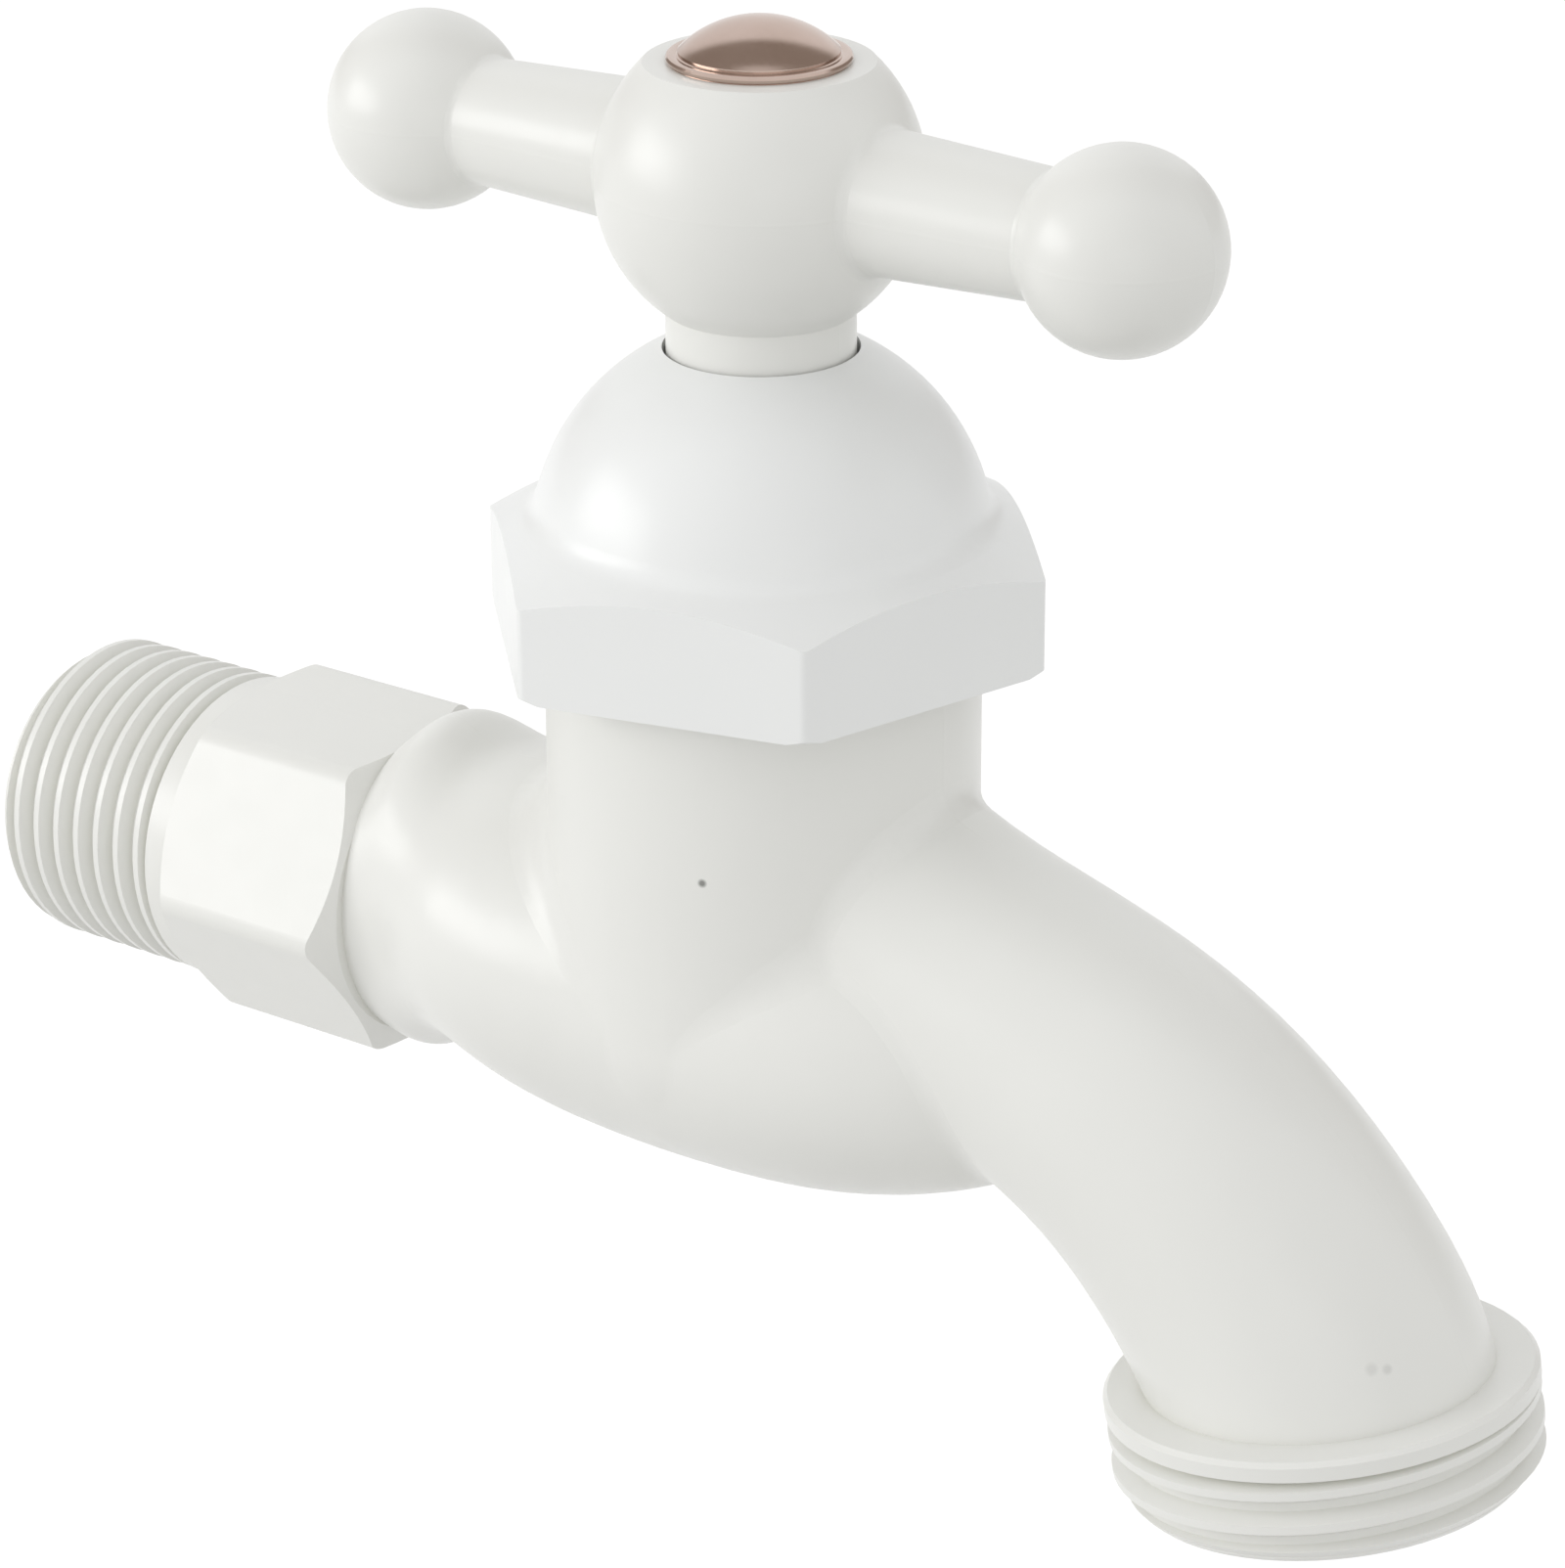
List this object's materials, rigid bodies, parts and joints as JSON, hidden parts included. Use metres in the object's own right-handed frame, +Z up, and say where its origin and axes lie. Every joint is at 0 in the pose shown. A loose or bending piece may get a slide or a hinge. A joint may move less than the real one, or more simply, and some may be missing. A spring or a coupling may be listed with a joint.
{
  "type": "garden tap",
  "caption": "Plastic garden tap with a threaded inlet, domed hexagon bonnet nut, two-ball bar handle, curved spout and hose-thread outlet.",
  "frame": {"origin": "on the inlet thread's axis, in the plane where the thread meets the hexagon", "axes": "+X from the wall towards the spout, +Z up along the valve's axis, Y = 0 is the plane of the inlet, the valve and the spout"},
  "size_m": [0.1144, 0.036, 0.0878],
  "materials": {
    "body_plastic": "moulded, soft gloss, warm white",
    "nut_plastic": "moulded, soft gloss, cool white",
    "handle_plastic": "moulded, soft gloss, warm white",
    "carrier_plastic": "moulded, matt",
    "fibre": "red fibre sheet",
    "packing": "matt, soft",
    "washer_rubber": "matt, moulded",
    "spindle_brass": "turned",
    "inner_brass": "turned",
    "steel": "plain",
    "cap_chrome": "mirror bright"
  },
  "bodies": {
    "housing_group": {"body": "body_plastic", "bonnet_nut": "nut_plastic", "stem_carrier": "carrier_plastic", "bonnet_gasket": "fibre", "packing_washer": "inner_brass", "packing_ring": "packing", "gland_ring": "inner_brass"},
    "jumper_group": {"jumper": "spindle_brass", "seat_washer": "washer_rubber", "washer_screw": "inner_brass", "jumper_clip": "steel"},
    "handle_group": {"spindle": "spindle_brass", "handle": "handle_plastic", "handle_screw": "steel", "lock_washer": "steel", "index_cap": "cap_chrome"}
  },
  "joints": [
    {"name": "spindle_rise", "type": "slide", "parent": "housing_group", "child": "jumper_group", "axis": [0, 0, 1], "range_m": [0, 0.004]},
    {"name": "handle_turn", "type": "hinge", "parent": "jumper_group", "child": "handle_group", "pos_m": [0.0426, 0, 0], "axis": [0, 0, 1], "range_deg": [0, 576]}
  ],
  "couplings": [
    {"joint": "spindle_rise", "follows": "handle_turn", "m_per_rad": 0.00039789}
  ]
}
